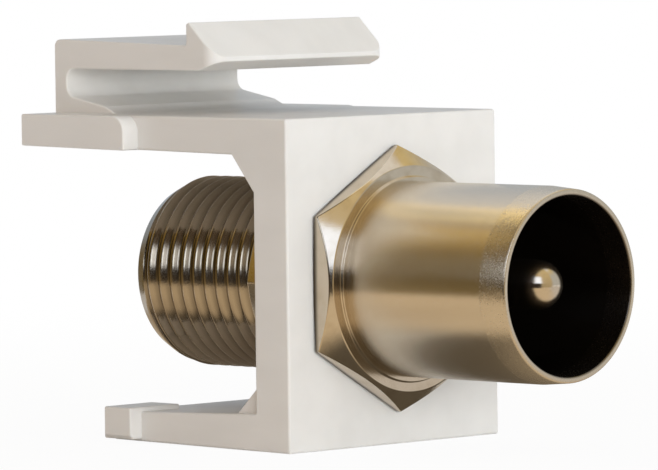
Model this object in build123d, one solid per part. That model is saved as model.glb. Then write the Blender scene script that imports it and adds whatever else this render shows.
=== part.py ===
from build123d import *
from math import cos, radians, sqrt, tan
import os

# Keystone insert that carries a coaxial through-adaptor, in millimetres.
# The origin is on the connector's axis, at the front face of the moulding.
# +Z is up, the plug points along -Y and the threaded socket along +Y.

# Threaded barrel and its hole in the wall
thread_major = 9.46
thread_pitch = 0.794
thread_reach = 11.18
thread_lead = 1.0
thread_lead_drop = 0.43
hole_clearance = 0.08
wall = 2.3

# Rear nut, seated on the wall between plate and arm
nut_land = 0.82
nut_thickness = 2.2
nut_face_inset = 0.2
nut_cone = 0.8
nut_mouth = 0.3
nut_clearance = 0.02
room_above_nut = 0.65
room_below_nut = 0.71

# Moulded housing: front wall, top plate and bottom arm
face_width = 14.7
edge_round = 0.15
plate_root = 1.8
plate_tip = 1.56
arm_root = 1.84
arm_tip = 1.37
arm_rise = 0.15

# Ears and lugs that stop the insert at the back of the panel
panel_depth = 10.22
ear_length = 7.28
ear_proud = 0.99
ear_round = 0.75
lug_length = 2.0
lug_proud = 0.76
lug_inboard = 2.65
lug_stand = 0.22
lug_lift = 0.12
lug_bevel = 0.2

# Corner ribs between the wall and the two limbs
rib_thickness = 1.2
top_rib_along = 1.45
top_rib_down = 1.75
low_rib_along = 1.65
low_rib_up = 1.5
low_rib_inset = 0.4

# Latch: riser, springy arm and catch
latch_inset = 1.35
riser_thickness = 0.88
latch_gap = 2.18
latch_root = 1.47
latch_tip = 1.24
latch_heel_round = 0.35
latch_bend_round = 0.5
catch_setback = 8.15
catch_length = 2.02
catch_height = 1.13
catch_land = 0.2
catch_corner = 0.8
ramp_angle = 43.0
nose_lift = 0.45
nose_bevel = 1.1
foot_reach = 3.5
foot_step = 0.36
foot_step_run = 0.85
foot_rise = 0.5
foot_round = 0.6

# Plug shell, pressed into the collar
shell_diameter = 9.5
shell_wall = 0.43
shell_length = 10.2
lead_in_length = 1.5
lead_in_drop = 0.12
lip_round = 0.08
shell_floor = 0.55
spigot_wall = 0.6
spigot_length = 2.9
socket_wall = 0.63

# Hexagon and collar of the adaptor
collar_margin = 0.25
collar_height = 0.15
hex_land = 0.65
hex_thickness = 1.25
hex_face_inset = 0.15
hex_cone = 0.92
hex_back_bevel = 0.12

# Insulators
flange_thickness = 0.8
insulator_slip = 0.02
barrel_wall = 1.33
mouth_lip = 0.4
mouth_lip_width = 0.25
entry_diameter = 1.3
funnel_depth = 0.5
funnel_flare = 0.45

# Centre conductor: plug pin in front, spring socket behind
pin_diameter = 2.4
pin_recess = 0.9
pin_shoulder = 0.3
pin_slip = 0.01
tail_diameter = 0.9
tail_length = 2.0
contact_bore = 1.05
contact_wall = 0.33
contact_web = 0.8
contact_setback = 1.2
contact_slot = 0.2
contact_slot_length = 3.6

# Radii and half widths that follow; the stretch inside the nut is drawn at its pitch diameter
thread_radius = thread_major / 2
pitch_radius = thread_radius - 3 * sqrt(3) / 16 * thread_pitch
shell_radius = shell_diameter / 2
shell_bore = shell_radius - shell_wall
spigot_radius = thread_radius - socket_wall
spigot_bore = spigot_radius - spigot_wall
barrel_bore = thread_radius - barrel_wall
mouth_radius = barrel_bore - mouth_lip_width
collar_radius = shell_radius + collar_margin
hex_flat = collar_radius + hex_land
nut_flat = thread_radius + nut_land
pin_radius = pin_diameter / 2
neck_radius = pin_radius - pin_shoulder
contact_radius = contact_bore / 2 + contact_wall
side = face_width / 2
latch_half = side - latch_inset

# Heights that follow
face_top = nut_flat + room_above_nut + plate_root
face_bottom = -(nut_flat + room_below_nut + arm_root)
limb_core = plate_tip / 2
latch_under = face_top + latch_gap

# Stations along the axis that follow
plate_length = panel_depth + ear_length
arm_length = panel_depth + lug_length
riser_front = plate_length - riser_thickness
nut_face = wall + nut_thickness
hex_face = -hex_thickness
collar_face = hex_face - collar_height
shell_tip = collar_face - shell_length
shell_step = collar_face - shell_floor
flange_face = shell_step - flange_thickness
spigot_end = collar_face + spigot_length
thread_end = wall + thread_reach
insulator_end = thread_end - mouth_lip
pin_tip = shell_tip + pin_recess
tail_end = spigot_end + tail_length
contact_end = insulator_end - contact_setback


def on_line(start, end, y):
    """Height at y on the straight line between two (y, z) points."""
    return start[1] + (end[1] - start[1]) * (y - start[0]) / (end[0] - start[0])


def plate_under(y):
    """Height of the top plate's drafted underside."""
    return on_line((wall, face_top - plate_root), (plate_length, face_top - plate_tip), y)


def arm_under(y):
    """Height of the bottom arm's drafted underside."""
    return on_line((0, face_bottom), (arm_length, face_bottom + arm_rise), y)


def arm_inner(y):
    """Height of the bottom arm's drafted inner face."""
    return on_line((wall, face_bottom + arm_root), (arm_length, arm_under(arm_length) + arm_tip), y)


def outline(*points):
    return make_face(Polyline(*points, close=True))


def soften(face, corner, radius):
    """Round the one corner of a face that lies nearest a point."""
    return fillet(face.vertices().sort_by_distance(corner)[0], radius)


def slab(profile, left, right):
    """A (y, z) profile made solid from x = left to x = right."""
    return Pos(X=left) * extrude(Plane.YZ * profile, right - left)


def turned(profile):
    """A (radius, y) profile turned about the connector's axis."""
    return revolve(profile, Axis.Y)


def cylinder(radius, front, back):
    return turned(outline((0, front), (radius, front), (radius, back), (0, back)))


def hexagon(flat, turn, front, back):
    """A hexagonal bar along the axis. Turn 0 has its corners at the sides, 30 at top and bottom."""
    section = RegularPolygon(flat, 6, major_radius=False, rotation=turn)
    return Pos(Y=back) * extrude(Plane.XZ * section, back - front)


def frame_body():
    """Front wall, top plate and bottom arm as one drafted C section."""
    section = outline(
        (0, face_bottom),
        (0, face_top),
        (plate_length, face_top),
        (plate_length, face_top - plate_tip),
        (wall, plate_under(wall)),
        (wall, arm_inner(wall)),
        (arm_length, arm_inner(arm_length)),
        (arm_length, arm_under(arm_length)),
    )
    body = slab(section, -side, side)
    front_edges = body.faces().sort_by(Axis.Y)[0].edges()
    return fillet(front_edges, edge_round)


def ears():
    """One slab across the plate's rear that stands proud on both sides."""
    section = outline(
        (panel_depth, plate_under(panel_depth)),
        (panel_depth, face_top),
        (plate_length, face_top),
        (plate_length, face_top - plate_tip),
    )
    section = soften(section, (panel_depth, face_top), ear_round)
    return slab(section, -side - ear_proud, side + ear_proud)


def lug():
    """The right-hand lug at the tip of the bottom arm."""
    low = arm_under(panel_depth) + lug_lift
    high = arm_inner(panel_depth) + lug_stand
    section = outline((panel_depth, low), (panel_depth, high), (arm_length, high), (arm_length, low))
    block = slab(section, side - lug_inboard, side + lug_proud)
    outer_edges = block.faces().sort_by(Axis.X)[-1].edges()
    return chamfer([outer_edges.sort_by(Axis.Z)[0], outer_edges.sort_by(Axis.Y)[-1]], lug_bevel)


def rib(along, height, inner, core, inset):
    """A triangular corner rib on the right, rooted in the wall and in a limb's core."""
    section = outline(
        (wall / 2, height),
        (wall, height),
        (wall + along, inner(wall + along)),
        (wall + along, core),
        (wall / 2, core),
    )
    return slab(section, side - inset - rib_thickness, side - inset)


def latch():
    """Riser, arm and catch: a side profile cut to a plan with rounded front corners."""
    catch_front = catch_setback - catch_length
    crest = catch_setback - catch_land
    arm_top = latch_under + latch_tip
    peak = arm_top + catch_height
    ramp_foot = peak - (crest - catch_front) * tan(radians(ramp_angle))
    heel = (plate_length, latch_under + latch_root)
    bend = (riser_front, latch_under)
    foot_corner = (riser_front, face_top + foot_step + foot_rise)
    profile = outline(
        (plate_length, face_top - limb_core),
        heel,
        (catch_setback, arm_top),
        (catch_setback, peak - catch_land / 2),
        (crest, peak),
        (catch_front, ramp_foot),
        (catch_front, latch_under + nose_lift),
        (catch_front + nose_bevel, latch_under),
        bend,
        foot_corner,
        (riser_front - foot_reach + foot_step_run, face_top + foot_step),
        (riser_front - foot_reach, face_top),
        (riser_front - foot_reach, face_top - limb_core),
    )
    profile = soften(profile, heel, latch_heel_round)
    profile = soften(profile, bend, latch_bend_round)
    profile = soften(profile, foot_corner, foot_round)
    plan = Pos(0, (catch_front + plate_length) / 2) * Rectangle(2 * latch_half, plate_length - catch_front)
    plan = fillet(plan.vertices().sort_by(Axis.Y)[:2], catch_corner)
    return slab(profile, -latch_half, latch_half) & extrude(plan, peak)


def keystone_housing():
    top_rib = rib(top_rib_along, plate_under(wall) - top_rib_down, plate_under, face_top - limb_core, 0)
    low_rib = rib(low_rib_along, arm_inner(wall) + low_rib_up, arm_inner, face_bottom + limb_core, low_rib_inset)
    right_hand = top_rib + low_rib + lug()
    moulding = frame_body() + ears() + latch() + right_hand + mirror(right_hand, Plane.YZ)
    return moulding - cylinder(thread_radius + hole_clearance, 0, wall)


def adaptor_body():
    """Hexagon, collar and threaded barrel, turned from one bar."""
    hex_corner = hex_flat / cos(radians(30))
    head_envelope = outline(
        (0, hex_face),
        (hex_flat - hex_face_inset, hex_face),
        (hex_corner, hex_face + hex_cone),
        (hex_corner, -hex_back_bevel),
        (hex_flat - hex_back_bevel, 0),
        (0, 0),
    )
    head = hexagon(hex_flat, 30, hex_face, 0) & turned(head_envelope)
    barrel = outline(
        (0, collar_face),
        (collar_radius, collar_face),
        (collar_radius, hex_face / 2),
        (thread_radius, hex_face / 2),
        (thread_radius, wall),
        (pitch_radius, wall),
        (pitch_radius, nut_face),
        (thread_radius, nut_face),
        (thread_radius, thread_end - thread_lead),
        (thread_radius - thread_lead_drop, thread_end),
        (0, thread_end),
    )
    bore = outline(
        (0, collar_face),
        (spigot_radius, collar_face),
        (spigot_radius, spigot_end),
        (barrel_bore, spigot_end),
        (barrel_bore, insulator_end),
        (mouth_radius, insulator_end),
        (mouth_radius, thread_end),
        (0, thread_end),
    )
    return head + turned(barrel) - turned(bore)


def pal_shell():
    """Plug barrel with a tapered lead-in, a floor for the insulator and a press-in spigot."""
    rim_radius = shell_radius - lead_in_drop
    profile = outline(
        (shell_bore, shell_tip),
        (rim_radius, shell_tip),
        (shell_radius, shell_tip + lead_in_length),
        (shell_radius, collar_face),
        (spigot_radius, collar_face),
        (spigot_radius, spigot_end),
        (spigot_bore, spigot_end),
        (spigot_bore, shell_step),
        (shell_bore, shell_step),
    )
    profile = soften(profile, (rim_radius, shell_tip), lip_round)
    profile = soften(profile, (shell_bore, shell_tip), lip_round)
    return turned(profile)


def rear_nut():
    """Hexagon nut on the thread, bevelled on the side away from the wall."""
    nut_corner = nut_flat / cos(radians(30))
    bore = pitch_radius + nut_clearance
    envelope = outline(
        (bore, wall),
        (nut_corner, wall),
        (nut_corner, nut_face - nut_cone),
        (nut_flat - nut_face_inset, nut_face),
        (bore + nut_mouth, nut_face),
        (bore, nut_face - nut_mouth),
    )
    return hexagon(nut_flat, 0, wall, nut_face) & turned(envelope)


def front_insulator():
    """Flanged bush that centres the pin in the shell."""
    flange_radius = shell_bore - insulator_slip
    hub_radius = spigot_bore - insulator_slip
    return turned(outline(
        (neck_radius + pin_slip, flange_face),
        (flange_radius, flange_face),
        (flange_radius, shell_step),
        (hub_radius, shell_step),
        (hub_radius, spigot_end),
        (neck_radius + pin_slip, spigot_end),
    ))


def rear_insulator():
    """Dielectric around the spring socket, with a funnel that guides the cable's wire."""
    outer = barrel_bore - insulator_slip
    entry = entry_diameter / 2
    return turned(outline(
        (contact_radius + pin_slip, spigot_end),
        (outer, spigot_end),
        (outer, insulator_end),
        (entry + funnel_flare, insulator_end),
        (entry, insulator_end - funnel_depth),
        (entry, contact_end),
        (contact_radius + pin_slip, contact_end),
    ))


def centre_pin():
    """Round-nosed plug pin, its neck in the insulator and its tail in the spring socket."""
    nose_middle = (pin_radius / sqrt(2), pin_tip + pin_radius - pin_radius / sqrt(2))
    nose = ThreePointArc((0, pin_tip), nose_middle, (pin_radius, pin_tip + pin_radius))
    stem = Polyline(
        (pin_radius, pin_tip + pin_radius),
        (pin_radius, flange_face),
        (neck_radius, flange_face),
        (neck_radius, spigot_end),
        (tail_diameter / 2, spigot_end),
        (tail_diameter / 2, tail_end),
        (0, tail_end),
        (0, pin_tip),
    )
    return turned(make_face(nose + stem))


def f_contact():
    """Spring socket: closed on the pin's tail, bored and cross-slotted at the cable end."""
    sleeve = turned(outline(
        (tail_diameter / 2 + pin_slip, spigot_end),
        (contact_radius, spigot_end),
        (contact_radius, contact_end),
        (contact_bore / 2, contact_end),
        (contact_bore / 2, tail_end + contact_web),
        (0, tail_end + contact_web),
        (0, tail_end),
        (tail_diameter / 2 + pin_slip, tail_end),
    ))
    slot = Pos(Y=contact_end - contact_slot_length / 2) * Box(2 * contact_radius, contact_slot_length, contact_slot)
    return sleeve - Rot(Y=45) * slot - Rot(Y=-45) * slot


nodes = [
    keystone_housing,
    adaptor_body,
    rear_nut,
    pal_shell,
    front_insulator,
    centre_pin,
    rear_insulator,
    f_contact,
]
os.makedirs("parts", exist_ok=True)
for node in nodes:
    export_step(node(), f"parts/{node.__name__}.step")
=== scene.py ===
"""The looks of a keystone insert with a coaxial antenna adaptor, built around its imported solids."""

import math

import bmesh
import bpy
from mathutils import Matrix, Vector


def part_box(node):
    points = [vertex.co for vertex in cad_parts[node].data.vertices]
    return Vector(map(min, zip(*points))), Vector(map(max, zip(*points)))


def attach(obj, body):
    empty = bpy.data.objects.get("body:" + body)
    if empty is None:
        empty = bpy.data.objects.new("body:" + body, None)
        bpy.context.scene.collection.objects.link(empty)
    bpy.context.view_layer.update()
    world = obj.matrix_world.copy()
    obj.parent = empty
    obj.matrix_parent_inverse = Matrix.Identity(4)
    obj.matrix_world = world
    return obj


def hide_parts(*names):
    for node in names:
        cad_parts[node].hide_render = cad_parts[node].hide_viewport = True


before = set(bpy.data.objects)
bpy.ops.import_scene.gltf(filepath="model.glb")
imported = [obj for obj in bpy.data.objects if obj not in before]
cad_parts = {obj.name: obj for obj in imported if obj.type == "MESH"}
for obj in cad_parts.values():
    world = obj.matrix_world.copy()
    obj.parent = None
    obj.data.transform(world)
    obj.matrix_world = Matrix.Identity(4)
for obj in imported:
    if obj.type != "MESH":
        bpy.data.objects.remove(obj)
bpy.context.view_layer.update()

# Lengths in this script are millimetres; Blender's are metres.
MM = 0.001

# Every turned piece is made about its own z, which this turn lays along the connector's axis, +Y.
ALONG_CONNECTOR = Matrix.Rotation(math.radians(-90), 4, "X")
STEPS_AROUND = 240


def extent(node):
    """Lowest and highest corner of a CAD node, in millimetres."""
    low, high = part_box(node)
    return low / MM, high / MM


def put_in_scene(name, data):
    """A new object in the scene, for a mesh, a lamp or a camera."""
    made = bpy.data.objects.new(name, data)
    bpy.context.scene.collection.objects.link(made)
    return made


# Sizes read from the solids
body_low, body_high = extent("adaptor_body")
nut_low, nut_high = extent("rear_nut")
shell_low, shell_high = extent("pal_shell")
pin_low, pin_high = extent("centre_pin")
dielectric_high = extent("rear_insulator")[1]
bush_low, bush_high = extent("front_insulator")
contact_high = extent("f_contact")[1]
housing_low, housing_high = extent("keystone_housing")

collar_face = body_low.y
thread_end = body_high.y
hex_corner = body_high.z
hex_flat = body_high.x
nut_seat = nut_low.y
nut_face = nut_high.y
nut_flat = nut_high.z
nut_corner = nut_high.x
shell_radius = shell_high.x
shell_tip = shell_low.y
spigot_end = shell_high.y
pin_tip = pin_low.y
pin_radius = pin_high.x
tail_end = pin_high.y
dielectric_radius = dielectric_high.x
insulator_end = dielectric_high.y
flange_radius = bush_high.x
flange_face = bush_low.y
contact_radius = contact_high.x
contact_end = contact_high.y
floor_height = housing_low.z

# Sizes that the boxes don't give
THREAD_RADIUS = 4.73
THREAD_PITCH = 0.794
THREAD_DEPTH = 0.24
THREAD_FLANK = 0.33
THREAD_CREST = 0.07
THREAD_CORNER = 0.022
THREAD_LEAD = 1.0
THREAD_LEAD_DROP = 0.43
THREAD_START = 0.5
THREAD_CLEARANCE = 0.012
HEX_FACE = -1.25
HEX_FACE_INSET = 0.15
HEX_TURN = math.radians(30)
HEX_CONE = 0.92
HEX_BACK_BEVEL = 0.12
COLLAR_RADIUS = 5.0
SPIGOT_RADIUS = 4.1
SPIGOT_BORE = 3.5
BARREL_BORE = 3.4
MOUTH_RADIUS = 3.15
SHELL_BORE = 4.32
SHELL_STEP = -1.95
LEAD_IN_LENGTH = 1.5
LEAD_IN_DROP = 0.12
LEAD_IN_ROUND = 0.4
RIM_ROUND = 0.1
NUT_CONE = 0.8
NUT_FACE_INSET = 0.2
NUT_MOUTH = 0.3
NECK_RADIUS = 0.9
TAIL_RADIUS = 0.45
ENTRY_RADIUS = 0.65
FUNNEL_DEPTH = 0.5
FUNNEL_FLARE = 0.45
SLIP = 0.01
BUSH_SLIP = 0.02

# Moulding: plate, arm, ears, lugs and ribs
SIDE = 7.35
FACE_TOP = 8.0
PLATE_ROOT = 1.8
PLATE_TIP = 1.56
ARM_ROOT = 1.84
ARM_TIP = 1.37
ARM_RISE = 0.15
HOLE_RADIUS = 4.81
PANEL_DEPTH = 10.22
EAR_ROUND = 0.75
LUG_LENGTH = 2.0
LUG_PROUD = 0.76
LUG_INBOARD = 2.65
LUG_STAND = 0.22
LUG_LIFT = 0.12
LUG_BEVEL = 0.2
RIB_THICKNESS = 1.2
TOP_RIB_ALONG = 1.45
TOP_RIB_DOWN = 1.75
LOW_RIB_ALONG = 1.65
LOW_RIB_UP = 1.5
LOW_RIB_INSET = 0.4

# Moulding: latch
LATCH_HALF = 6.0
RISER_THICKNESS = 0.88
LATCH_GAP = 2.18
LATCH_ROOT = 1.47
LATCH_TIP = 1.24
HEEL_ROUND = 0.35
BEND_ROUND = 0.5
CATCH_SETBACK = 8.15
CATCH_LENGTH = 2.02
CATCH_LAND = 0.2
CATCH_CORNER = 0.8
RAMP_ANGLE = math.radians(43)
NOSE_LIFT = 0.45
NOSE_BEVEL = 1.1
FOOT_REACH = 3.5
FOOT_STEP = 0.36
FOOT_STEP_RUN = 0.85
FOOT_RISE = 0.5
FOOT_ROUND = 0.6

# Edge rounds
FACE_ROUND = 0.13
MOULD_ROUND = 0.09
METAL_ROUND = 0.04
TURNED_ROUND = 0.05
SHARP_ROUND = 0.025
SHARP_ANGLE = 29
ROUND_SHARE = 0.42
ROUND_REACH = 0.45

# HAIR keeps the faces of joined pieces apart. OVERRUN takes a piece past the face it is joined or cut at.
HAIR = 0.003
OVERRUN = 1.0

# How near points are welded, how flat faces are merged, and how parallel an edge beside another is
WELD = 0.002
SLIVER = 0.0005
SWEEP_WELD = HAIR / 3
BALL_WELD = HAIR / 30
LEAST_ROUND = HAIR / 100
FLAT_ANGLE = math.radians(0.2)
BESIDE = 0.85


# Shader expressions

class Flow:
    """What one shader socket gives. Arithmetic on it adds Math nodes to its graph."""

    def __init__(self, graph, socket):
        self.graph = graph
        self.socket = socket

    def math(self, operation, *values):
        """One Math node with this operation, on values that are flows or numbers."""
        return self.graph.node("ShaderNodeMath", {"operation": operation}, dict(enumerate(values)))

    def __add__(self, other):
        return self.math("ADD", self, other)

    def __sub__(self, other):
        return self.math("SUBTRACT", self, other)

    def __rsub__(self, other):
        return self.math("SUBTRACT", other, self)

    def __mul__(self, other):
        return self.math("MULTIPLY", self, other)

    def __truediv__(self, other):
        return self.math("DIVIDE", self, other)

    def __rtruediv__(self, other):
        return self.math("DIVIDE", other, self)

    def __gt__(self, other):
        return self.math("GREATER_THAN", self, other)

    def __lt__(self, other):
        return self.math("LESS_THAN", self, other)

    __radd__ = __add__
    __rmul__ = __mul__

    def larger(self, other):
        return self.math("MAXIMUM", self, other)

    def smaller(self, other):
        return self.math("MINIMUM", self, other)

    def root(self):
        return self.math("SQRT", self)

    def smooth(self, start, end):
        """0 at start, 1 at end, easing between them."""
        settings = {"interpolation_type": "SMOOTHSTEP"}
        sockets = {"Value": self, "From Min": start, "From Max": end}
        return self.graph.node("ShaderNodeMapRange", settings, sockets)


class Graph:
    """The nodes of one finish, or of the world."""

    def __init__(self, tree):
        self.tree = tree
        tree.nodes.clear()

    def node(self, kind, settings=None, sockets=None, output=0):
        """Adds a node: its settings first, then a value or a flow for each socket, by name or by place."""
        made = self.tree.nodes.new(kind)
        for name, value in (settings or {}).items():
            if name == "stops":
                self.set_stops(made.color_ramp, value)
            else:
                setattr(made, name, value)
        for name, value in (sockets or {}).items():
            if isinstance(value, Flow):
                self.tree.links.new(value.socket, made.inputs[name])
            else:
                made.inputs[name].default_value = value
        return Flow(self, made.outputs[output]) if made.outputs else made

    def set_stops(self, ramp, stops):
        """Gives a ramp its (position, colour) stops."""
        while len(ramp.elements) < len(stops):
            ramp.elements.new(1.0)
        for element, (position, colour) in zip(ramp.elements, stops):
            element.position = position
            element.color = (*colour, 1.0)

    def blend(self, mask, first, second):
        """Colour first where the mask is 0, second where it is 1."""
        sockets = {0: mask, 6: tone(first), 7: tone(second)}
        return self.node("ShaderNodeMix", {"data_type": "RGBA"}, sockets, output=2)

    def place(self):
        """The point on the piece, in its own millimetres, as three flows."""
        point = self.node("ShaderNodeTexCoord", output="Object")
        scaled = self.node("ShaderNodeVectorMath", {"operation": "SCALE"}, {0: point, "Scale": 1 / MM})
        return self.split(scaled)

    def split(self, vector):
        """The three parts of a vector, as flows."""
        return [self.node("ShaderNodeSeparateXYZ", None, {"Vector": vector}, output=axis) for axis in "XYZ"]

    def join(self, x, y, z):
        return self.node("ShaderNodeCombineXYZ", None, {"X": x, "Y": y, "Z": z})

    def noise(self, point, scale, detail=2.0, roughness=0.5):
        sockets = {"Vector": point, "Scale": scale, "Detail": detail, "Roughness": roughness}
        return self.node("ShaderNodeTexNoise", None, sockets)

    def relief(self, height, depth, strength):
        """A bumped normal for a height from 0 to 1 that stands for a depth in millimetres."""
        sockets = {"Height": height, "Distance": depth * MM, "Strength": strength}
        return self.node("ShaderNodeBump", None, sockets)


def tone(colour):
    """A colour socket's value, or the flow itself."""
    return colour if isinstance(colour, Flow) else (*colour, 1.0)


def new_finish(name):
    material = bpy.data.materials.new(name)
    material.use_nodes = True
    return material, Graph(material.node_tree)


def finish_with(graph, sockets):
    """Ends a finish in one Principled surface."""
    surface = graph.node("ShaderNodeBsdfPrincipled", None, sockets)
    graph.node("ShaderNodeOutputMaterial", None, {"Surface": surface})


# Finishes

PLASTIC_LIGHT = (0.80, 0.79, 0.765)
PLASTIC_DARK = (0.755, 0.745, 0.72)


def white_moulding():
    """Semi-gloss white plastic from a polished mould: faint flow tone, soft ripple and fine grain."""
    material, graph = new_finish("white_moulding")
    x, y, z = graph.place()
    point = graph.join(x, y, z)
    filling = graph.join(x * 0.5, y * 0.14, z * 0.5)
    flow = graph.noise(filling, scale=0.9, detail=3.0).smooth(0.3, 0.75)
    grain = graph.noise(point, scale=9.0, detail=3.0, roughness=0.6)
    ripple = graph.noise(point, scale=0.55, detail=1.0)
    handled = graph.noise(point, scale=1.7, detail=4.0, roughness=0.62).smooth(0.5, 0.72)
    finish_with(graph, {
        "Base Color": graph.blend(flow, PLASTIC_LIGHT, PLASTIC_DARK),
        "Roughness": 0.33 + handled * 0.1 + grain * 0.05,
        "IOR": 1.5,
        "Subsurface Weight": 0.12,
        "Subsurface Radius": (1.0, 0.85, 0.7),
        "Subsurface Scale": 0.7 * MM,
        "Normal": graph.relief(grain * 0.12 + ripple, depth=0.03, strength=0.55),
    })
    return material


NICKEL = (0.65, 0.565, 0.45)
NICKEL_DULL = (0.57, 0.48, 0.365)
# Painted shade: the thread's nickel is darker for the housing's shade over it
NICKEL_THREAD_SHADE = (0.46, 0.385, 0.29)
# Painted shade inside the deep bore
NICKEL_BORE_SHADE = (0.06, 0.05, 0.042)
# Painted shade in the thread's root and at the hexagon's joint with the wall
NICKEL_SHADE = (0.07, 0.055, 0.04)
BLACK_DEEP = (0.012, 0.011, 0.010)
BLACK_WORN = (0.022, 0.020, 0.018)
MILK_LIGHT = (0.82, 0.81, 0.78)
MILK_DARK = (0.72, 0.71, 0.67)
BRONZE = (0.62, 0.40, 0.20)
BRONZE_BLOOM = (0.42, 0.25, 0.12)

# Distances in the nickel finishes, in millimetres, and two shares. The bore, joint and root ones place
# painted shade
AXIS_RADIUS = 0.05
BORE_SHADE_FADE = 0.12
SHADE_START = 0.42
SHADE_FULL = 0.1
CREST_SHARE = 0.3
ROOT_SHADE = 0.4


def lathe_marks(graph, x, y, along, radius):
    """Fine rings, specks and a patchy tarnish round a turned piece, each from 0 to 1."""
    cosine, sine = x / radius, y / radius
    rings = graph.join(cosine * 0.35, sine * 0.35, along * 13 + radius * 11)
    broad_rings = graph.join(cosine * 0.6, sine * 0.6, along * 1.3 + radius * 1.1)
    spots = graph.join(x * 3, y * 3, along * 3)
    fine = graph.noise(rings, scale=2.2, detail=4.0, roughness=0.7)
    wide = graph.noise(broad_rings, scale=1.6)
    specks = graph.noise(spots, scale=2.6, detail=3.0, roughness=0.65).smooth(0.52, 0.75)
    return fine, specks, (wide * 0.6 + specks * 0.4).smooth(0.35, 0.85)


def turned_nickel(name, roughness, mark_depth, band=None, bore=None):
    """Bright nickel on turned brass: rings left by the tool, drawn-out reflections and a thin tarnish.

    band is (start, end) along the axis, in millimetres, of a stretch with coarser, uneven marks. Inside the
    bore's radius the nickel is darkened, a painted shade of the deep bore.
    """
    material, graph = new_finish(name)
    x, y, along = graph.place()
    radius = (x * x + y * y).root().larger(AXIS_RADIUS)
    fine, specks, tarnish = lathe_marks(graph, x, y, along, radius)
    marks = fine + specks * 0.2
    uneven = 0.0
    if band:
        start, end = band
        coarse = (along > start) * (along < end)
        chatter = graph.join(x / radius * 15, y / radius * 15, along * 5)
        uneven = coarse * graph.noise(chatter, scale=1.0)
        marks = marks + fine * coarse * 1.5 + uneven * 4
    colour = graph.blend(tarnish, NICKEL, NICKEL_DULL)
    if bore:
        # Painted shade: the nickel darkens inside the bore's radius
        colour = graph.blend(1 - radius.smooth(bore, bore + BORE_SHADE_FADE), colour, NICKEL_BORE_SHADE)
    finish_with(graph, {
        "Base Color": colour,
        "Metallic": 1.0,
        "Roughness": roughness + fine * 0.08 + specks * 0.04 + uneven * 0.05,
        "Anisotropic": 0.95,
        "Anisotropic Rotation": 0.25,
        "Normal": graph.relief(marks, mark_depth, strength=0.6),
    })
    return material


def plated_nickel(name, roughness, joint=None):
    """Nickel over a cut thread or a hexagon: close to a mirror, with faint drawn lines and clouding.

    The thread is darker, painted shade for the housing's shade over it, and darkest in its root, painted
    shade in its grooves. Painted shade lines the hexagon's edge at the joint, a place along the axis.
    """
    material, graph = new_finish(name)
    x, y, along = graph.place()
    radius = (x * x + y * y).root()
    crest = THREAD_RADIUS - THREAD_DEPTH * CREST_SHARE
    # Painted shade in the thread's root, darkest at the bottom of its grooves
    painted_shade = (1 - radius.smooth(THREAD_RADIUS - THREAD_DEPTH, crest)) * ROOT_SHADE
    if joint is not None:
        # Painted shade along the hexagon's edge at its joint with the wall
        edge = along.smooth(joint - SHADE_START, joint - SHADE_FULL) * (along < joint + SHADE_FULL)
        painted_shade = painted_shade.larger(edge)
    drawn = graph.noise(graph.join(x * 6, y * 6, along * 0.4), scale=1.8, detail=3.0, roughness=0.6)
    cloud = graph.noise(graph.join(x, y, along), scale=1.1)
    plain = graph.blend(cloud.smooth(0.4, 0.8), NICKEL, NICKEL_DULL)
    # Painted shade: where the thread is, the nickel is darker for the housing's shade over it
    threaded = (along > THREAD_START) * (radius < THREAD_RADIUS + THREAD_CLEARANCE)
    finish_with(graph, {
        "Base Color": graph.blend(painted_shade, graph.blend(threaded, plain, NICKEL_THREAD_SHADE), NICKEL_SHADE),
        "Metallic": 1.0,
        "Roughness": roughness + drawn * 0.08,
        "Normal": graph.relief(drawn, depth=0.003, strength=0.4),
    })
    return material


def black_insulator():
    """Satin black moulded plastic."""
    material, graph = new_finish("black_insulator")
    grain = graph.noise(graph.join(*graph.place()), scale=7.0, detail=3.0, roughness=0.6)
    finish_with(graph, {
        "Base Color": graph.blend(grain.smooth(0.3, 0.8), BLACK_DEEP, BLACK_WORN),
        "Roughness": 0.5 + grain * 0.15,
        "Normal": graph.relief(grain, depth=0.01, strength=0.4),
    })
    return material


def white_dielectric():
    """Waxy natural polyethylene, a little see-through, with faint turning rings."""
    material, graph = new_finish("white_dielectric")
    x, y, along = graph.place()
    radius = (x * x + y * y).root()
    rings = graph.noise(graph.join(radius * 8, along * 8, 0.0), scale=1.4, detail=3.0, roughness=0.6)
    milky = graph.noise(graph.join(x, y, along), scale=1.3)
    finish_with(graph, {
        "Base Color": graph.blend(milky, MILK_LIGHT, MILK_DARK),
        "Roughness": 0.38 + rings * 0.12,
        "IOR": 1.5,
        "Subsurface Weight": 0.3,
        "Subsurface Radius": (1.0, 0.9, 0.8),
        "Subsurface Scale": 1.0 * MM,
        "Normal": graph.relief(rings, depth=0.012, strength=0.4),
    })
    return material


def spring_bronze():
    """Plain bronze with fine tool rings and a brown bloom."""
    material, graph = new_finish("spring_bronze")
    x, y, z = graph.place()
    rings = graph.noise(graph.join(x * 0.5, y * 14, z * 0.5), scale=1.5, detail=3.0, roughness=0.6)
    bloom = graph.noise(graph.join(x, y, z), scale=2.5, detail=3.0).smooth(0.4, 0.7)
    finish_with(graph, {
        "Base Color": graph.blend(bloom, BRONZE, BRONZE_BLOOM),
        "Metallic": 1.0,
        "Roughness": 0.28 + rings * 0.14,
        "Normal": graph.relief(rings, depth=0.006, strength=0.5),
    })
    return material


# Shapes. A station is (radius, along), and either may be a function of the angle around.

def at_angle(value, angle):
    return value(angle) if callable(value) else value


def hexagon_radius(flat, turn):
    """Distance from the axis to a hexagon's side, by angle. One of its corners is at turn."""
    def radius(angle):
        return flat / math.cos((angle - turn) % math.radians(60) - math.radians(30))
    return radius


ARC_STEPS = 6
CORNER_STEPS = 15


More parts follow.
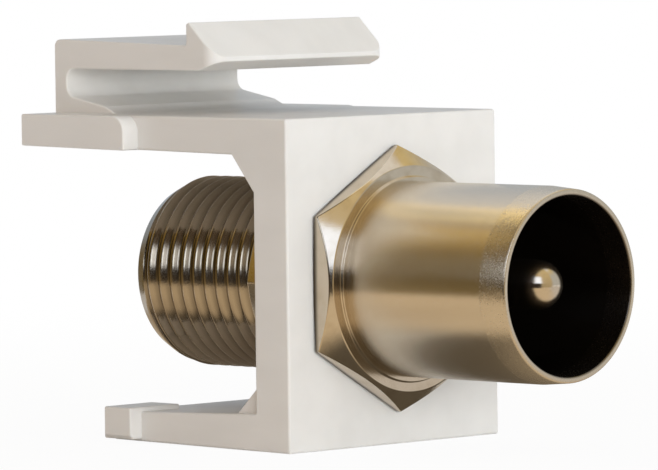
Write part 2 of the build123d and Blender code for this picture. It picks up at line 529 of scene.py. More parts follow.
def rounded(points):
    """Opens a closed outline of (across, along, round) points, each round one as an arc."""
    opened = []
    for index, (across, along, edge) in enumerate(points):
        here = Vector((across, along))
        before = Vector(points[index - 1][:2]) - here
        after = Vector(points[(index + 1) % len(points)][:2]) - here
        if edge == 0:
            opened.append((across, along))
            continue
        half = before.angle(after) / 2
        reach = min(abs(edge) / math.tan(half), ROUND_REACH * before.length, ROUND_REACH * after.length)
        radius = reach * math.tan(half)
        middle = (before.normalized() + after.normalized()).normalized()
        centre = here + middle * radius / math.sin(half)
        turn = math.copysign(math.pi - 2 * half, after.cross(before))
        for step in range(ARC_STEPS + 1):
            spoke = -middle * radius
            spoke.rotate(Matrix.Rotation(turn * (step / ARC_STEPS - 0.5), 2))
            opened.append(tuple(centre + spoke))
    return opened


def shrunk(points, distance):
    """Moves every side of a closed outline inwards. Rounds outside shrink with it, rounds inside grow."""
    corners = [Vector(point[:2]) for point in points]
    area = sum(here.cross(after) for here, after in zip(corners, corners[1:] + corners[:1]))
    moved = []
    for index, (across, along, edge) in enumerate(points):
        before = corners[index] - corners[index - 1]
        after = corners[(index + 1) % len(corners)] - corners[index]
        outside = before.cross(after) * area > 0
        sides = before.normalized().orthogonal(), after.normalized().orthogonal()
        step = (sides[0] + sides[1]) / (1 + sides[0].dot(sides[1])) * math.copysign(distance, area)
        if edge:
            edge = max(edge - distance, LEAST_ROUND) if outside else edge + distance
        moved.append((across + step.x, along + step.y, edge))
    return moved


def swept(sections):
    """A bmesh in millimetres that skins (x, outline in y and z) sections and closes both ends."""
    mesh = bmesh.new()
    rings = []
    for place, outline in sections:
        rings.append([mesh.verts.new((place, *corner)) for corner in outline])
    for ring, following in zip(rings, rings[1:]):
        for index in range(len(ring)):
            mesh.faces.new((ring[index - 1], ring[index], following[index], following[index - 1]))
    mesh.faces.new(rings[0])
    mesh.faces.new(rings[-1])
    bmesh.ops.remove_doubles(mesh, verts=mesh.verts, dist=SWEEP_WELD)
    bmesh.ops.recalc_face_normals(mesh, faces=mesh.faces)
    return mesh


def prism(points, start, end, edge):
    """An outline of (y, z, round) points drawn out along x, with its end edges rounded."""
    rims = []
    for step in range(ARC_STEPS + 1):
        angle = math.radians(90) * step / ARC_STEPS
        rims.append((edge * (1 - math.cos(angle)), edge * (1 - math.sin(angle))))
    stations = [(start + back, drop) for drop, back in reversed(rims)]
    stations += [(end - back, drop) for drop, back in rims]
    return swept([(place, rounded(shrunk(points, drop))) for place, drop in stations])


def pebble(corners, edge):
    """A convex bmesh in millimetres whose edges are all rounded: the hull of small balls at its corners."""
    mesh = bmesh.new()
    for corner in corners:
        ball = Matrix.Translation(corner) @ Matrix.Scale(edge, 4)
        bmesh.ops.create_uvsphere(
            mesh, u_segments=4 * ARC_STEPS, v_segments=2 * ARC_STEPS, radius=1, matrix=ball)
    bmesh.ops.remove_doubles(mesh, verts=mesh.verts, dist=BALL_WELD)
    hull = bmesh.ops.convex_hull(mesh, input=mesh.verts)
    spare = [part for part in hull["geom_interior"] if isinstance(part, bmesh.types.BMVert)]
    bmesh.ops.delete(mesh, geom=spare, context="VERTS")
    bmesh.ops.dissolve_limit(mesh, angle_limit=FLAT_ANGLE, verts=mesh.verts, edges=mesh.edges)
    return mesh


def combined(first, second, operation):
    """One bmesh joined with, cut by or limited to another. Both are used up."""
    tools = []
    for mesh in (first, second):
        data = bpy.data.meshes.new("tool")
        mesh.to_mesh(data)
        mesh.free()
        tool = put_in_scene("tool", data)
        tools.append(tool)
    boolean = tools[0].modifiers.new("combine", "BOOLEAN")
    boolean.operation = operation
    boolean.solver = "EXACT"
    boolean.object = tools[1]
    result = bmesh.new()
    result.from_object(tools[0], bpy.context.evaluated_depsgraph_get())
    for tool in tools:
        data = tool.data
        bpy.data.objects.remove(tool)
        bpy.data.meshes.remove(data)
    return result


def add_rings(mesh, stations, closed):
    """Skins a run of stations around the axis. A station at radius 0 is one point."""
    rings = []
    for radius, along in stations:
        if radius == 0:
            rings.append([mesh.verts.new((0, 0, along * MM))])
            continue
        ring = []
        for step in range(STEPS_AROUND):
            angle = math.tau * step / STEPS_AROUND
            reach = at_angle(radius, angle) * MM
            height = at_angle(along, angle) * MM
            ring.append(mesh.verts.new((reach * math.cos(angle), reach * math.sin(angle), height)))
        rings.append(ring)
    following = rings[1:] + rings[:1] if closed else rings[1:]
    for ring, other in zip(rings, following):
        skin_between(mesh, ring, other)


def skin_between(mesh, ring, other):
    for step in range(STEPS_AROUND):
        following = (step + 1) % STEPS_AROUND
        if len(ring) == 1:
            mesh.faces.new((ring[0], other[step], other[following]))
        elif len(other) == 1:
            mesh.faces.new((ring[step], other[0], ring[following]))
        else:
            mesh.faces.new((ring[step], other[step], other[following], ring[following]))


def groove(along, angle):
    """Depth of the thread's groove at a place, from 0 at a crest to THREAD_DEPTH in the root."""
    phase = (along / THREAD_PITCH - angle / math.tau) % 1.0
    from_crest = (0.5 - abs(phase - 0.5)) * THREAD_PITCH
    share = (from_crest - THREAD_CREST / 2) / THREAD_FLANK
    return THREAD_DEPTH * min(max(share, 0.0), 1.0)


def thread_rows():
    """Where the rows of a thread's mesh lie in one pitch, as shares of it. They crowd at its corners."""
    crest_edge = THREAD_CREST / 2
    root_edge = crest_edge + THREAD_FLANK
    near = []
    for corner in (crest_edge, root_edge):
        near += [corner - THREAD_CORNER, corner + THREAD_CORNER]
    near += [crest_edge + THREAD_FLANK / 3, crest_edge + THREAD_FLANK * 2 / 3]
    rows = [place / THREAD_PITCH for place in near]
    return sorted(rows + [1 - row for row in rows] + [0.0, 0.5])


def add_thread(mesh, start, end, radius_at):
    """Skins a helical surface whose rows follow the thread. It is cut square at start and end."""
    rows = thread_rows()
    first_turn = math.floor(start / THREAD_PITCH) - 1
    last_turn = math.ceil(end / THREAD_PITCH) + 1
    lines = [turn + row for turn in range(first_turn, last_turn) for row in rows]
    lattice = []
    for step in range(STEPS_AROUND + 1):
        angle = math.tau * step / STEPS_AROUND
        column = []
        for line in lines:
            along = min(max((line + angle / math.tau) * THREAD_PITCH, start), end)
            reach = radius_at(along, angle)
            point = Vector((reach * math.cos(angle), reach * math.sin(angle), along))
            column.append(mesh.verts.new(point * MM))
        lattice.append(column)
    for column, following in zip(lattice, lattice[1:]):
        for low in range(len(lines) - 1):
            mesh.faces.new((column[low], column[low + 1], following[low + 1], following[low]))


def outer_thread(along, angle):
    """Radius of the barrel's thread, which fades in at its start and runs out on a taper at its end."""
    fade = min(max((along - THREAD_START) / THREAD_PITCH, 0.0), 1.0)
    taper = THREAD_RADIUS - THREAD_LEAD_DROP * (1 - (thread_end - along) / THREAD_LEAD)
    return min(THREAD_RADIUS - fade * groove(along, angle), taper)


def inner_thread(along, angle):
    """Radius of the nut's thread, which clears the barrel's and opens into a countersink."""
    cut = THREAD_RADIUS - groove(along, angle) + THREAD_CLEARANCE
    pitch_radius = THREAD_RADIUS - THREAD_DEPTH / 2
    mouth = pitch_radius + NUT_MOUTH - (nut_face - along)
    return max(cut, mouth)


def new_piece(name, mesh, finish, nodes, turned=True):
    """Makes a piece from a finished bmesh, puts it in place and hides the CAD nodes it stands for."""
    bmesh.ops.remove_doubles(mesh, verts=mesh.verts, dist=WELD * MM)
    bmesh.ops.dissolve_degenerate(mesh, edges=mesh.edges, dist=SLIVER * MM)
    bmesh.ops.recalc_face_normals(mesh, faces=mesh.faces)
    data = bpy.data.meshes.new(name)
    mesh.to_mesh(data)
    mesh.free()
    data.shade_smooth()
    data.set_sharp_from_angle(angle=math.radians(SHARP_ANGLE))
    piece = put_in_scene(name, data)
    if turned:
        piece.matrix_world = ALONG_CONNECTOR
    data.materials.append(finish)
    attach(piece, "root")
    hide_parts(*nodes)
    return piece


def gap_across(edge, face):
    """Distance from the middle of an edge to the nearest edge that runs beside it on a face."""
    middle = (edge.verts[0].co + edge.verts[1].co) / 2
    along = (edge.verts[1].co - edge.verts[0].co).normalized()
    nearest = math.inf
    for other in face.edges:
        start = other.verts[0].co
        run = other.verts[1].co - start
        way = run.normalized()
        foot = (middle - start).dot(way)
        if other is not edge and abs(way.dot(along)) > BESIDE and 0 < foot < run.length:
            nearest = min(nearest, (middle - start - way * foot).length)
    return nearest


def mark_rounds(mesh, width, wanted):
    """Weighs the sharp edges for rounding: in full, or less where a face is too narrow for it."""
    weight = mesh.edges.layers.float.new("bevel_weight_edge")
    for edge in mesh.edges:
        middle = (edge.verts[0].co + edge.verts[1].co) / 2
        if edge.calc_face_angle(0.0) > math.radians(SHARP_ANGLE) and wanted(middle):
            room = min(gap_across(edge, face) for face in edge.link_faces)
            edge[weight] = min(1.0, ROUND_SHARE * room / (width * MM))


def soften_edges(piece, width, segments):
    """Rounds the marked edges of a piece and evens the shading of its flats."""
    bevel = piece.modifiers.new("edge_round", "BEVEL")
    bevel.width = width * MM
    bevel.segments = segments
    bevel.limit_method = "WEIGHT"
    bevel.use_clamp_overlap = False
    even_shading(piece)


def even_shading(piece):
    weighted = piece.modifiers.new("even_shading", "WEIGHTED_NORMAL")
    weighted.keep_sharp = True


def turned_piece(name, stations, finish, nodes):
    """A lathe piece from (radius, along, round) stations, closed on itself unless it runs to the axis."""
    mesh = bmesh.new()
    closed = stations[0][0] != 0 or stations[-1][0] != 0
    add_rings(mesh, rounded(stations), closed)
    piece = new_piece(name, mesh, finish, nodes)
    even_shading(piece)
    return piece


# Pieces

def adaptor_mesh():
    """The turned outline round from the hexagon's back to the mouth, and the thread."""
    side = hexagon_radius(hex_flat, HEX_TURN)
    face_radius = hex_flat - HEX_FACE_INSET
    slope = HEX_CONE / (hex_corner - face_radius)
    bevel_slope = HEX_BACK_BEVEL / (hex_corner - hex_flat)
    mesh = bmesh.new()
    add_rings(mesh, [
        (THREAD_RADIUS, THREAD_START),
        (THREAD_RADIUS, 0.0),
        (hex_flat - HEX_BACK_BEVEL, 0.0),
        (side, lambda angle: -(side(angle) - hex_flat + HEX_BACK_BEVEL) * bevel_slope),
        (side, lambda angle: HEX_FACE + (side(angle) - face_radius) * slope),
        (face_radius, HEX_FACE),
        (COLLAR_RADIUS, HEX_FACE),
        (COLLAR_RADIUS, collar_face),
        (SPIGOT_RADIUS, collar_face),
        (SPIGOT_RADIUS, spigot_end),
        (BARREL_BORE, spigot_end),
        (BARREL_BORE, insulator_end),
        (MOUTH_RADIUS, insulator_end),
        (MOUTH_RADIUS, thread_end - SHARP_ROUND),
        (MOUTH_RADIUS + SHARP_ROUND, thread_end),
        (lambda angle: outer_thread(thread_end, angle), thread_end),
    ], closed=False)
    add_thread(mesh, THREAD_START, thread_end, outer_thread)
    bmesh.ops.remove_doubles(mesh, verts=mesh.verts, dist=WELD * MM)
    return mesh


def adaptor():
    """Hexagon, collar and threaded barrel, one turning."""
    mesh = adaptor_mesh()
    finish = plated_nickel("adaptor_nickel", roughness=0.12, joint=0.0)
    mark_rounds(mesh, METAL_ROUND, lambda middle: middle.z < THREAD_START * MM)
    piece = new_piece("adaptor", mesh, finish, ["adaptor_body"])
    soften_edges(piece, METAL_ROUND, segments=2)
    return piece


def nut():
    """The threaded hexagon nut behind the wall."""
    side = hexagon_radius(nut_flat, 0.0)
    face_radius = nut_flat - NUT_FACE_INSET
    slope = NUT_CONE / (nut_corner - face_radius)
    mesh = bmesh.new()
    add_rings(mesh, [
        (lambda angle: inner_thread(nut_seat, angle), nut_seat),
        (nut_flat - HEX_BACK_BEVEL, nut_seat),
        (side, nut_seat),
        (side, lambda angle: nut_face - (side(angle) - face_radius) * slope),
        (face_radius, nut_face),
        (lambda angle: inner_thread(nut_face, angle), nut_face),
    ], closed=False)
    add_thread(mesh, nut_seat, nut_face, inner_thread)
    bmesh.ops.remove_doubles(mesh, verts=mesh.verts, dist=WELD * MM)
    outside = (THREAD_RADIUS + NUT_MOUTH) * MM
    mark_rounds(mesh, METAL_ROUND, lambda middle: middle.xy.length > outside)
    finish = plated_nickel("nut_nickel", roughness=0.14)
    piece = new_piece("threaded_nut", mesh, finish, ["rear_nut"])
    soften_edges(piece, METAL_ROUND, segments=2)
    return piece


def plug_shell():
    """The plug's barrel, with its tapered and coarsely turned lead-in."""
    rim = shell_radius - LEAD_IN_DROP
    lead_in_end = shell_tip + LEAD_IN_LENGTH
    stations = [
        (SHELL_BORE, shell_tip, RIM_ROUND),
        (rim, shell_tip, RIM_ROUND),
        (shell_radius, lead_in_end, LEAD_IN_ROUND),
        (shell_radius, collar_face, 0.0),
        (SPIGOT_RADIUS, collar_face, 0.0),
        (SPIGOT_RADIUS, spigot_end, SHARP_ROUND),
        (SPIGOT_BORE, spigot_end, SHARP_ROUND),
        (SPIGOT_BORE, SHELL_STEP, SHARP_ROUND),
        (SHELL_BORE, SHELL_STEP, SHARP_ROUND),
    ]
    lead_in = (shell_tip, lead_in_end)
    finish = turned_nickel("shell_nickel", roughness=0.19, mark_depth=0.004, band=lead_in, bore=SHELL_BORE)
    return turned_piece("plug_shell", stations, finish, ["pal_shell"])


def plug_pin():
    """The round-nosed pin with its neck and tail."""
    nose = []
    for step in range(CORNER_STEPS + 1):
        angle = math.radians(90) * step / CORNER_STEPS
        nose.append((pin_radius * math.sin(angle), pin_tip + pin_radius * (1 - math.cos(angle)), 0.0))
    stem = [
        (pin_radius, flange_face, SHARP_ROUND),
        (NECK_RADIUS, flange_face, 0.0),
        (NECK_RADIUS, spigot_end, SHARP_ROUND),
        (TAIL_RADIUS, spigot_end, 0.0),
        (TAIL_RADIUS, tail_end, SHARP_ROUND),
        (0.0, tail_end, 0.0),
    ]
    finish = turned_nickel("pin_nickel", roughness=0.1, mark_depth=0.003)
    return turned_piece("plug_pin", nose + stem, finish, ["centre_pin"])


def bush():
    """The black flanged bush around the pin."""
    hub = SPIGOT_BORE - BUSH_SLIP
    bore = NECK_RADIUS + SLIP
    stations = [
        (bore, flange_face, 0.0),
        (flange_radius, flange_face, TURNED_ROUND),
        (flange_radius, SHELL_STEP, TURNED_ROUND),
        (hub, SHELL_STEP, 0.0),
        (hub, spigot_end, SHARP_ROUND),
        (bore, spigot_end, SHARP_ROUND),
    ]
    return turned_piece("bush", stations, black_insulator(), ["front_insulator"])


def dielectric():
    """The white insulator of the threaded socket, with the wire's funnel."""
    bore = contact_radius + SLIP
    stations = [
        (bore, spigot_end, 0.0),
        (dielectric_radius, spigot_end, SHARP_ROUND),
        (dielectric_radius, insulator_end, SHARP_ROUND),
        (ENTRY_RADIUS + FUNNEL_FLARE, insulator_end, TURNED_ROUND),
        (ENTRY_RADIUS, insulator_end - FUNNEL_DEPTH, TURNED_ROUND),
        (ENTRY_RADIUS, contact_end, 0.0),
        (bore, contact_end, 0.0),
    ]
    return turned_piece("dielectric", stations, white_dielectric(), ["rear_insulator"])


def line(start, end):
    """Height at any place along the straight line between two (along, height) points."""
    return lambda along: start[1] + (end[1] - start[1]) * (along - start[0]) / (end[0] - start[0])


plate_end = housing_high.y
arm_end = PANEL_DEPTH + LUG_LENGTH
wall_back = nut_seat
plate_under = line((wall_back, FACE_TOP - PLATE_ROOT), (plate_end, FACE_TOP - PLATE_TIP))
arm_under = line((0, floor_height), (arm_end, floor_height + ARM_RISE))
arm_inner = line((wall_back, floor_height + ARM_ROOT), (arm_end, floor_height + ARM_RISE + ARM_TIP))


def wall_and_limbs():
    """Front wall, top plate and bottom arm in one C section. The ears' slab goes on from the plate."""
    joint = PANEL_DEPTH + OVERRUN
    return prism([
        (0, floor_height, FACE_ROUND),
        (0, FACE_TOP, FACE_ROUND),
        (joint, FACE_TOP, 0),
        (joint, plate_under(joint), 0),
        (wall_back, plate_under(wall_back), FACE_ROUND),
        (wall_back, arm_inner(wall_back), FACE_ROUND),
        (arm_end, arm_inner(arm_end), FACE_ROUND),
        (arm_end, arm_under(arm_end), FACE_ROUND),
    ], -SIDE, SIDE, FACE_ROUND)


def ears():
    """The slab across the plate's rear that stands proud on both sides."""
    return prism([
        (PANEL_DEPTH, plate_under(PANEL_DEPTH) - HAIR, MOULD_ROUND),
        (PANEL_DEPTH, FACE_TOP + HAIR, EAR_ROUND),
        (plate_end - HAIR, FACE_TOP + HAIR, MOULD_ROUND),
        (plate_end - HAIR, plate_under(plate_end) - HAIR, MOULD_ROUND),
    ], housing_low.x, housing_high.x, MOULD_ROUND)


def lug(hand):
    """The lug at one side of the arm's tip. hand is 1 on the right and -1 on the left."""
    edge = MOULD_ROUND
    inner = SIDE - LUG_INBOARD + edge
    outer = SIDE + LUG_PROUD - edge
    front = PANEL_DEPTH + edge
    rear = arm_end - HAIR - edge
    low = arm_under(PANEL_DEPTH) + LUG_LIFT + edge
    high = arm_inner(PANEL_DEPTH) + LUG_STAND - edge
    cut = LUG_BEVEL - edge * (2 - math.sqrt(2))
    plan = [(inner, front), (inner, rear), (outer - cut, rear)]
    corners = [(x, y, z) for x, y in plan for z in (low, high)]
    corners += [(outer - cut, front, low), (outer, front, low + cut), (outer, rear - cut, low + cut)]
    corners += [(outer, front, high), (outer, rear - cut, high)]
    return pebble([(hand * x, y, z) for x, y, z in corners], edge)


def rib(along, height, inner, core, outer, hand):
    """A triangular corner rib, rooted in the wall and in a limb's core."""
    outer -= HAIR
    left, right = sorted((hand * outer, hand * (outer - RIB_THICKNESS)))
    return prism([
        (wall_back / 2, height, 0),
        (wall_back, height, 0),
        (wall_back + along, inner(wall_back + along), 0),
        (wall_back + along, core, 0),
        (wall_back / 2, core, 0),
    ], left, right, MOULD_ROUND)


def latch_outline(front):
    """The latch from the side, its catch cut off square at a distance behind the moulding's face."""
    under = FACE_TOP + LATCH_GAP
    peak = housing_high.z
    crest = CATCH_SETBACK - CATCH_LAND
    catch_front = CATCH_SETBACK - CATCH_LENGTH
    riser_front = plate_end - RISER_THICKNESS
    core = FACE_TOP - PLATE_TIP / 2
    ramp = line((crest, peak), (crest - 1, peak - math.tan(RAMP_ANGLE)))
    nose = line((catch_front, under + NOSE_LIFT), (catch_front + NOSE_BEVEL, under))
    return [
        (plate_end, core, 0),
        (plate_end, under + LATCH_ROOT, HEEL_ROUND),
        (CATCH_SETBACK, under + LATCH_TIP, MOULD_ROUND),
        (CATCH_SETBACK, peak - CATCH_LAND / 2, MOULD_ROUND),
        (crest, peak, MOULD_ROUND),
        (front, ramp(front), MOULD_ROUND),
        (front, nose(front), MOULD_ROUND),
        (catch_front + NOSE_BEVEL, under, MOULD_ROUND),
        (riser_front, under, BEND_ROUND),
        (riser_front, FACE_TOP + FOOT_STEP + FOOT_RISE, FOOT_ROUND),
        (riser_front - FOOT_REACH + FOOT_STEP_RUN, FACE_TOP + FOOT_STEP, MOULD_ROUND),
        (riser_front - FOOT_REACH, FACE_TOP, 0),
        (riser_front - FOOT_REACH, core, 0),
    ]


def latch():
    """Riser, arm and catch, swept from side to side round the catch's front corners."""
    right = []
    for step in range(CORNER_STEPS + 1):
        turn = math.radians(90) * step / CORNER_STEPS
        place = LATCH_HALF - CATCH_CORNER * (1 - math.sin(turn))
        front = CATCH_SETBACK - CATCH_LENGTH + CATCH_CORNER * (1 - math.cos(turn))
        past = max(place - LATCH_HALF + MOULD_ROUND, 0) / MOULD_ROUND
        drop = MOULD_ROUND * (1 - math.sqrt(1 - min(past, 1) ** 2))
        right.append((place, rounded(shrunk(latch_outline(front), drop))))
    left = [(-place, outline) for place, outline in reversed(right)]
    return swept(left + right)


def wall_hole():
    """The cutter for the round hole through the front wall."""
    hole = bmesh.new()
    start, end = -OVERRUN, wall_back + OVERRUN
    add_rings(hole, [(0, start), (HOLE_RADIUS, start), (HOLE_RADIUS, end), (0, end)], closed=False)
    bmesh.ops.transform(hole, matrix=Matrix.Scale(1 / MM, 4) @ ALONG_CONNECTOR, verts=hole.verts)
    bmesh.ops.recalc_face_normals(hole, faces=hole.faces)
    return hole


def moulding():
    """The white housing, one moulding with all its outer edges rounded off."""
    plate_core = FACE_TOP - PLATE_TIP / 2
    arm_core = floor_height + ARM_TIP / 2
    body = combined(wall_and_limbs(), ears(), "UNION")
    for hand in (1, -1):
        top_height = plate_under(wall_back) - TOP_RIB_DOWN
        low_height = arm_inner(wall_back) + LOW_RIB_UP
        top_rib = rib(TOP_RIB_ALONG, top_height, plate_under, plate_core, SIDE, hand)
        low_rib = rib(LOW_RIB_ALONG, low_height, arm_inner, arm_core, SIDE - LOW_RIB_INSET, hand)
        for addition in (top_rib, low_rib, lug(hand)):
            body = combined(body, addition, "UNION")
    body = combined(body, latch(), "UNION")
    body = combined(body, wall_hole(), "DIFFERENCE")
    bmesh.ops.remove_doubles(body, verts=body.verts, dist=SWEEP_WELD)
    bmesh.ops.dissolve_limit(body, angle_limit=FLAT_ANGLE, verts=body.verts, edges=body.edges)
    bmesh.ops.scale(body, vec=(MM, MM, MM), verts=body.verts)
    finish = white_moulding()
    piece = new_piece("moulding", body, finish, ["keystone_housing"], turned=False)
    even_shading(piece)
    return piece


def refinish_contact():
    """The spring socket is right as the solid has it, and only gets its bronze."""
    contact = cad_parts["f_contact"]
    for material_slot in contact.material_slots:
        material_slot.material = spring_bronze()


moulding()
adaptor()
nut()
plug_shell()
plug_pin()
bush()
dielectric()
refinish_contact()


# Camera, where the photograph was taken from

IMAGE_WIDTH_PX = 658
FOCAL_LENGTH_PX = 6779.4
SENSOR_WIDTH = 36.0
CAMERA_AZIMUTH = math.radians(-45.575)
CAMERA_ELEVATION = math.radians(3.064)
CAMERA_ROLL = math.radians(-0.718)
CAMERA_DISTANCE = 330.0
CAMERA_RIGHT = -3.14
CAMERA_UP = 2.142
NEAREST_M = 0.01
FARTHEST_M = 20.0


def add_camera():
    back = Vector((
        math.sin(CAMERA_AZIMUTH) * math.cos(CAMERA_ELEVATION),
        -math.cos(CAMERA_AZIMUTH) * math.cos(CAMERA_ELEVATION),
        math.sin(CAMERA_ELEVATION),
    ))
    level_right = Vector((0, 0, 1)).cross(back).normalized()
    level_up = back.cross(level_right)
    right = level_right * math.cos(CAMERA_ROLL) + level_up * math.sin(CAMERA_ROLL)
    up = level_up * math.cos(CAMERA_ROLL) - level_right * math.sin(CAMERA_ROLL)
    place = back * CAMERA_DISTANCE + level_right * CAMERA_RIGHT + level_up * CAMERA_UP
    data = bpy.data.cameras.new("camera")
    data.sensor_width = SENSOR_WIDTH
    data.lens = FOCAL_LENGTH_PX * SENSOR_WIDTH / IMAGE_WIDTH_PX
    data.clip_start = NEAREST_M
    data.clip_end = FARTHEST_M
    camera = put_in_scene("camera", data)
    camera.matrix_world = Matrix.Translation(place * MM) @ Matrix((right, up, back)).transposed().to_4x4()
    bpy.context.scene.camera = camera


# Studio

FLOOR_SIZE = 3000.0
FLOOR_FADE = (15, 120)
FLOOR_PAPER = (0.93, 0.92, 0.90)
FLOOR_WHITE = 0.95
WHITE = (1, 1, 1)
WORLD_SPREAD = 0.354
WORLD_RISE = (0.1, 1.0)
WORLD_LEFT = (0.60, 0.44, 0.325)
WORLD_RIGHT = (0.74, 0.79, 0.84)
WORLD_ABOVE = (0.50, 0.48, 0.46)
TABLE_SPAN = ((-48, 70), (-80, 34))
TABLE_LIFT = 0.05
TABLE_LEFT = (0.77, 0.63, 0.44)
TABLE_RIGHT = (0.70, 0.66, 0.62)
TABLE_BEHIND = (0.63, 0.51, 0.36)
TABLE_SHADOW = (0.12, 0.10, 0.073)

# The cards that the metal mirrors: how fine they are, how far off, how high they reach, and shared colours
CARD_COLUMNS = 24
CARD_ROWS = 24
BESIDE_PART = 48
BESIDE_PLUG = 60
FAR_OFF = 150
LEFT_RISE = (-9.6, 85)
RIGHT_RISE = (-12, 85)
SHADE = (0.028, 0.022, 0.016)
CEILING = (0.11, 0.08, 0.05)
SKIRTING = (0.27, 0.20, 0.09)
HOT_GOLD = (2.2, 1.75, 0.8)

# Cards, as (name, azimuths, elevations, distance, bands). A band keeps its colour between two elevations
# and fades into the next.
CARDS = [
    ("dark_wall", (-109, -88), LEFT_RISE, BESIDE_PART, [
        (-9.6, -9.6, (0.16, 0.12, 0.07)), (5, 85, (0.05, 0.04, 0.025))]),
    ("brown_wall", (-134, -109), LEFT_RISE, BESIDE_PART, [
        (-9.6, -9.6, SKIRTING), (5, 5, (0.22, 0.15, 0.04)), (16, 16, (0.24, 0.165, 0.03)),
        (25, 25, (0.29, 0.195, 0.035)), (34, 34, (0.42, 0.28, 0.06)), (43, 43, (0.62, 0.43, 0.13)),
        (48, 53, (0.9, 0.68, 0.28)), (58, 85, (0.15, 0.11, 0.07))]),
    ("gold_corner", (-158, -134), LEFT_RISE, BESIDE_PART, [
        (-9.6, -9.6, SKIRTING), (4, 4, (0.06, 0.045, 0.03)), (27, 27, (0.08, 0.06, 0.035)),
        (34, 34, (0.40, 0.26, 0.05)), (43, 43, (0.60, 0.42, 0.13)), (51, 51, (0.85, 0.66, 0.36)),
        (57, 57, (0.9, 0.74, 0.45)), (61, 85, HOT_GOLD)]),
    ("pale_wall", (-180, -158), LEFT_RISE, BESIDE_PART, [
        (-9.6, -9.6, (0.25, 0.19, 0.09)), (22, 22, (0.34, 0.25, 0.105)), (38, 38, (0.60, 0.43, 0.17)),
        (44, 44, (0.58, 0.53, 0.42)), (50, 60, (0.54, 0.56, 0.55)), (66, 85, HOT_GOLD)]),
    ("thread_window", (-88, -79.5), RIGHT_RISE, BESIDE_PART, [
        (-12, 6, SHADE), (9, 25, (2.4, 2.7, 3.2)), (30, 85, CEILING)]),
    ("window_edge", (-79.5, -76.5), RIGHT_RISE, BESIDE_PART, [
        (-12, 6, SHADE), (9, 25, (0.8, 0.85, 0.95)), (30, 85, CEILING)]),
    ("dim_wall", (-76.5, -50), RIGHT_RISE, BESIDE_PART, [
        (-12, 7, (0.05, 0.04, 0.03)), (14, 26, (0.35, 0.3, 0.22)), (33, 85, CEILING)]),
    ("hexagon_window", (-50, -24), RIGHT_RISE, BESIDE_PART, [
        (-12, 7, SHADE), (9, 33, (1.5, 1.7, 2.1)), (35, 85, (0.75, 0.62, 0.38))]),
    ("gold_wall", (-24, 20), RIGHT_RISE, BESIDE_PLUG, [
        (-12, -12, (0.5, 0.4, 0.24)), (85, 85, (0.85, 0.7, 0.4))]),
    ("back_wall", (112, 180), (-2, 47), FAR_OFF, [
        (-2, -2, (0.52, 0.60, 0.66)), (8, 8, (0.50, 0.57, 0.64)), (45, 45, (0.58, 0.65, 0.76))]),
    ("front_wall", (20, 112), (-3, 50), FAR_OFF, [
        (-3, 30, (0.6, 0.62, 0.62)), (50, 50, (0.83, 0.65, 0.25))]),
]


def background_rays(graph):
    """1 for the rays that show the background: seen straight, in metal or through something clear."""
    seen = graph.node("ShaderNodeLightPath", output="Is Camera Ray")
    mirrored = graph.node("ShaderNodeLightPath", output="Is Glossy Ray")
    through = graph.node("ShaderNodeLightPath", output="Is Transmission Ray")
    return (seen + mirrored + through).smaller(1.0)


def add_world():
    """Soft studio light all round, cooler and brighter from the right front, white wherever it is seen."""
    world = bpy.data.worlds.new("studio")
    world.use_nodes = True
    bpy.context.scene.world = world
    graph = Graph(world.node_tree)
    x, y, z = graph.split(graph.node("ShaderNodeTexCoord", output="Generated"))
    walls = graph.blend((x - y) * WORLD_SPREAD + 0.5, WORLD_LEFT, WORLD_RIGHT)
    around = graph.blend(z.smooth(*WORLD_RISE), walls, WORLD_ABOVE)
    room = graph.node("ShaderNodeBackground", None, {"Color": around})
    white = graph.node("ShaderNodeBackground", None, {"Color": tone(WHITE)})
    light = graph.node("ShaderNodeMixShader", None, {0: background_rays(graph), 1: room, 2: white})
    graph.node("ShaderNodeOutputWorld", None, {"Surface": light})


def glow_with(graph, colour):
    """Ends a finish that gives off its own even light."""
    glow = graph.node("ShaderNodeEmission", None, {"Color": colour, "Strength": 1.0})
    graph.node("ShaderNodeOutputMaterial", None, {"Surface": glow})


def card_finish(name, stops, low, high):
    """The light of a card with (height, colour) stops between its two edges."""
    material, graph = new_finish(name)
    height = graph.place()[2]
    shares = [((stop - low) / (high - low), colour) for stop, colour in stops]
    share = (height - low) / (high - low)
    glow_with(graph, graph.node("ShaderNodeValToRGB", {"stops": shares}, {"Fac": share}))
    return material


def seen_by_metal(name, mesh, finish):
    """Makes a card that only reflections show."""
    data = bpy.data.meshes.new(name)
    mesh.to_mesh(data)
    mesh.free()
    data.materials.append(finish)
    card = put_in_scene(name, data)
    card.visible_camera = False
    card.visible_diffuse = False
    card.visible_shadow = False


def aim(azimuth, elevation):
    """The direction out from the part. Azimuth 0 is in front of the plug and 90 is to the right of it."""
    turn = math.radians(azimuth)
    lift = math.radians(elevation)
    return Vector((math.sin(turn) * math.cos(lift), -math.cos(turn) * math.cos(lift), math.sin(lift)))


def spread(ends, steps):
    """Even steps from one end to the other."""
    start, end = ends
    return [start + (end - start) * step / steps for step in range(steps + 1)]


def add_card(name, azimuths, elevations, distance, bands):
    """A standing card curved round the part, between two azimuths and two elevations in degrees."""
    mesh = bmesh.new()
    rows = []
    for elevation in spread(elevations, CARD_ROWS):
        corners = [aim(azimuth, elevation) * distance * MM for azimuth in spread(azimuths, CARD_COLUMNS)]
        rows.append([mesh.verts.new(corner) for corner in corners])
    for row, above in zip(rows, rows[1:]):
        for column in range(CARD_COLUMNS):
            mesh.faces.new((row[column], row[column + 1], above[column + 1], above[column]))
    stops = [(elevation, colour) for start, end, colour in bands for elevation in sorted({start, end})]
    heights = [(distance * math.sin(math.radians(elevation)), colour) for elevation, colour in stops]
    low, high = [distance * math.sin(math.radians(elevation)) for elevation in elevations]
    seen_by_metal(name, mesh, card_finish(name, heights, low, high))


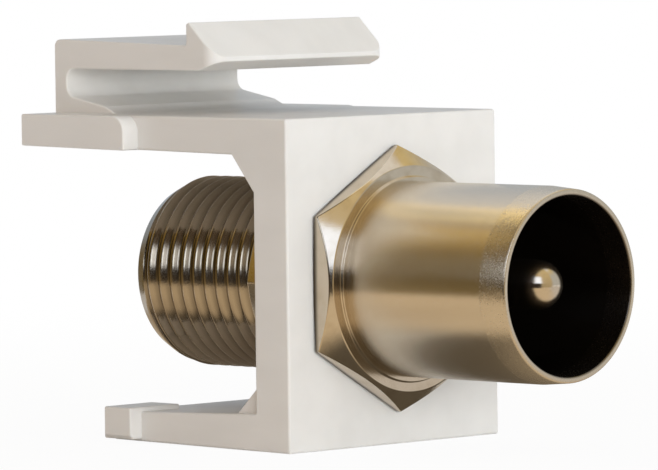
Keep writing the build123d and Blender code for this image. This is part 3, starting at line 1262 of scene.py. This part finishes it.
def add_floor():
    """A pale floor just under the part, white as seen, which keeps the part's soft shadow."""
    mesh = bmesh.new()
    half = FLOOR_SIZE / 2 * MM
    corners = [(-half, -half), (half, -half), (half, half), (-half, half)]
    mesh.faces.new([mesh.verts.new((x, y, floor_height * MM)) for x, y in corners])
    data = bpy.data.meshes.new("floor")
    mesh.to_mesh(data)
    mesh.free()
    material, graph = new_finish("floor")
    paper = graph.node("ShaderNodeBsdfDiffuse", None, {"Color": tone(FLOOR_PAPER)})
    white = graph.node("ShaderNodeEmission", None, {"Color": tone(WHITE), "Strength": 1.0})
    x, y = graph.place()[:2]
    away = (x * x + y * y).root().smooth(*FLOOR_FADE)
    share = background_rays(graph) * (FLOOR_WHITE + away * (1 - FLOOR_WHITE))
    surface = graph.node("ShaderNodeMixShader", None, {0: share, 1: paper, 2: white})
    graph.node("ShaderNodeOutputMaterial", None, {"Surface": surface})
    data.materials.append(material)
    floor = put_in_scene("floor", data)


def add_lamp(name, azimuth, elevation, distance, size, level, colour):
    """A soft box aimed at the part; level is how bright its own face is."""
    out = aim(azimuth, elevation)
    data = bpy.data.lights.new(name, "AREA")
    data.shape = "RECTANGLE"
    data.size = size[0] * MM
    data.size_y = size[1] * MM
    data.energy = level * math.pi * data.size * data.size_y
    data.color = colour
    lamp = put_in_scene(name, data)
    turned = out.to_track_quat("Z", "Y").to_matrix().to_4x4()
    lamp.matrix_world = Matrix.Translation(out * distance * MM) @ turned
    lamp.visible_glossy = False


def add_table_card():
    """The table as metal sees it: pale beige beside the part, with a painted shadow where the part stands
    and overhangs.
    """
    mesh = bmesh.new()
    (left, right), (front, back) = TABLE_SPAN
    corners = [(left, front), (right, front), (right, back), (left, back)]
    height = floor_height + TABLE_LIFT
    mesh.faces.new([mesh.verts.new(Vector((x, y, height)) * MM) for x, y in corners])
    material, graph = new_finish("table_card")
    x, y = graph.place()[:2]
    behind = y.smooth(0.0, 8.0) * x.smooth(-22.0, -14.0)
    across = (x + behind * 3).smooth(-10.5, -6.5) * (1 - x.smooth(14.0, 23.0))
    # Painted shadow of the part on the table, where it stands and overhangs
    under = across * y.smooth(-15.0, -5.5) * (1 - y.smooth(14.0, 20.0))
    beside = graph.blend(x.smooth(0.0, 14.0), TABLE_LEFT, TABLE_RIGHT)
    paper = graph.blend(behind, beside, TABLE_BEHIND)
    glow_with(graph, graph.blend(under, paper, TABLE_SHADOW))
    seen_by_metal("table_card", mesh, material)


def add_studio():
    add_world()
    add_floor()
    add_lamp("key", azimuth=-17, elevation=6.5, distance=420,
             size=(340, 90), level=10.6, colour=(0.98, 1.0, 1.01))
    for card in CARDS:
        add_card(*card)
    add_table_card()


add_camera()
add_studio()
bpy.context.scene.view_settings.view_transform = "Standard"
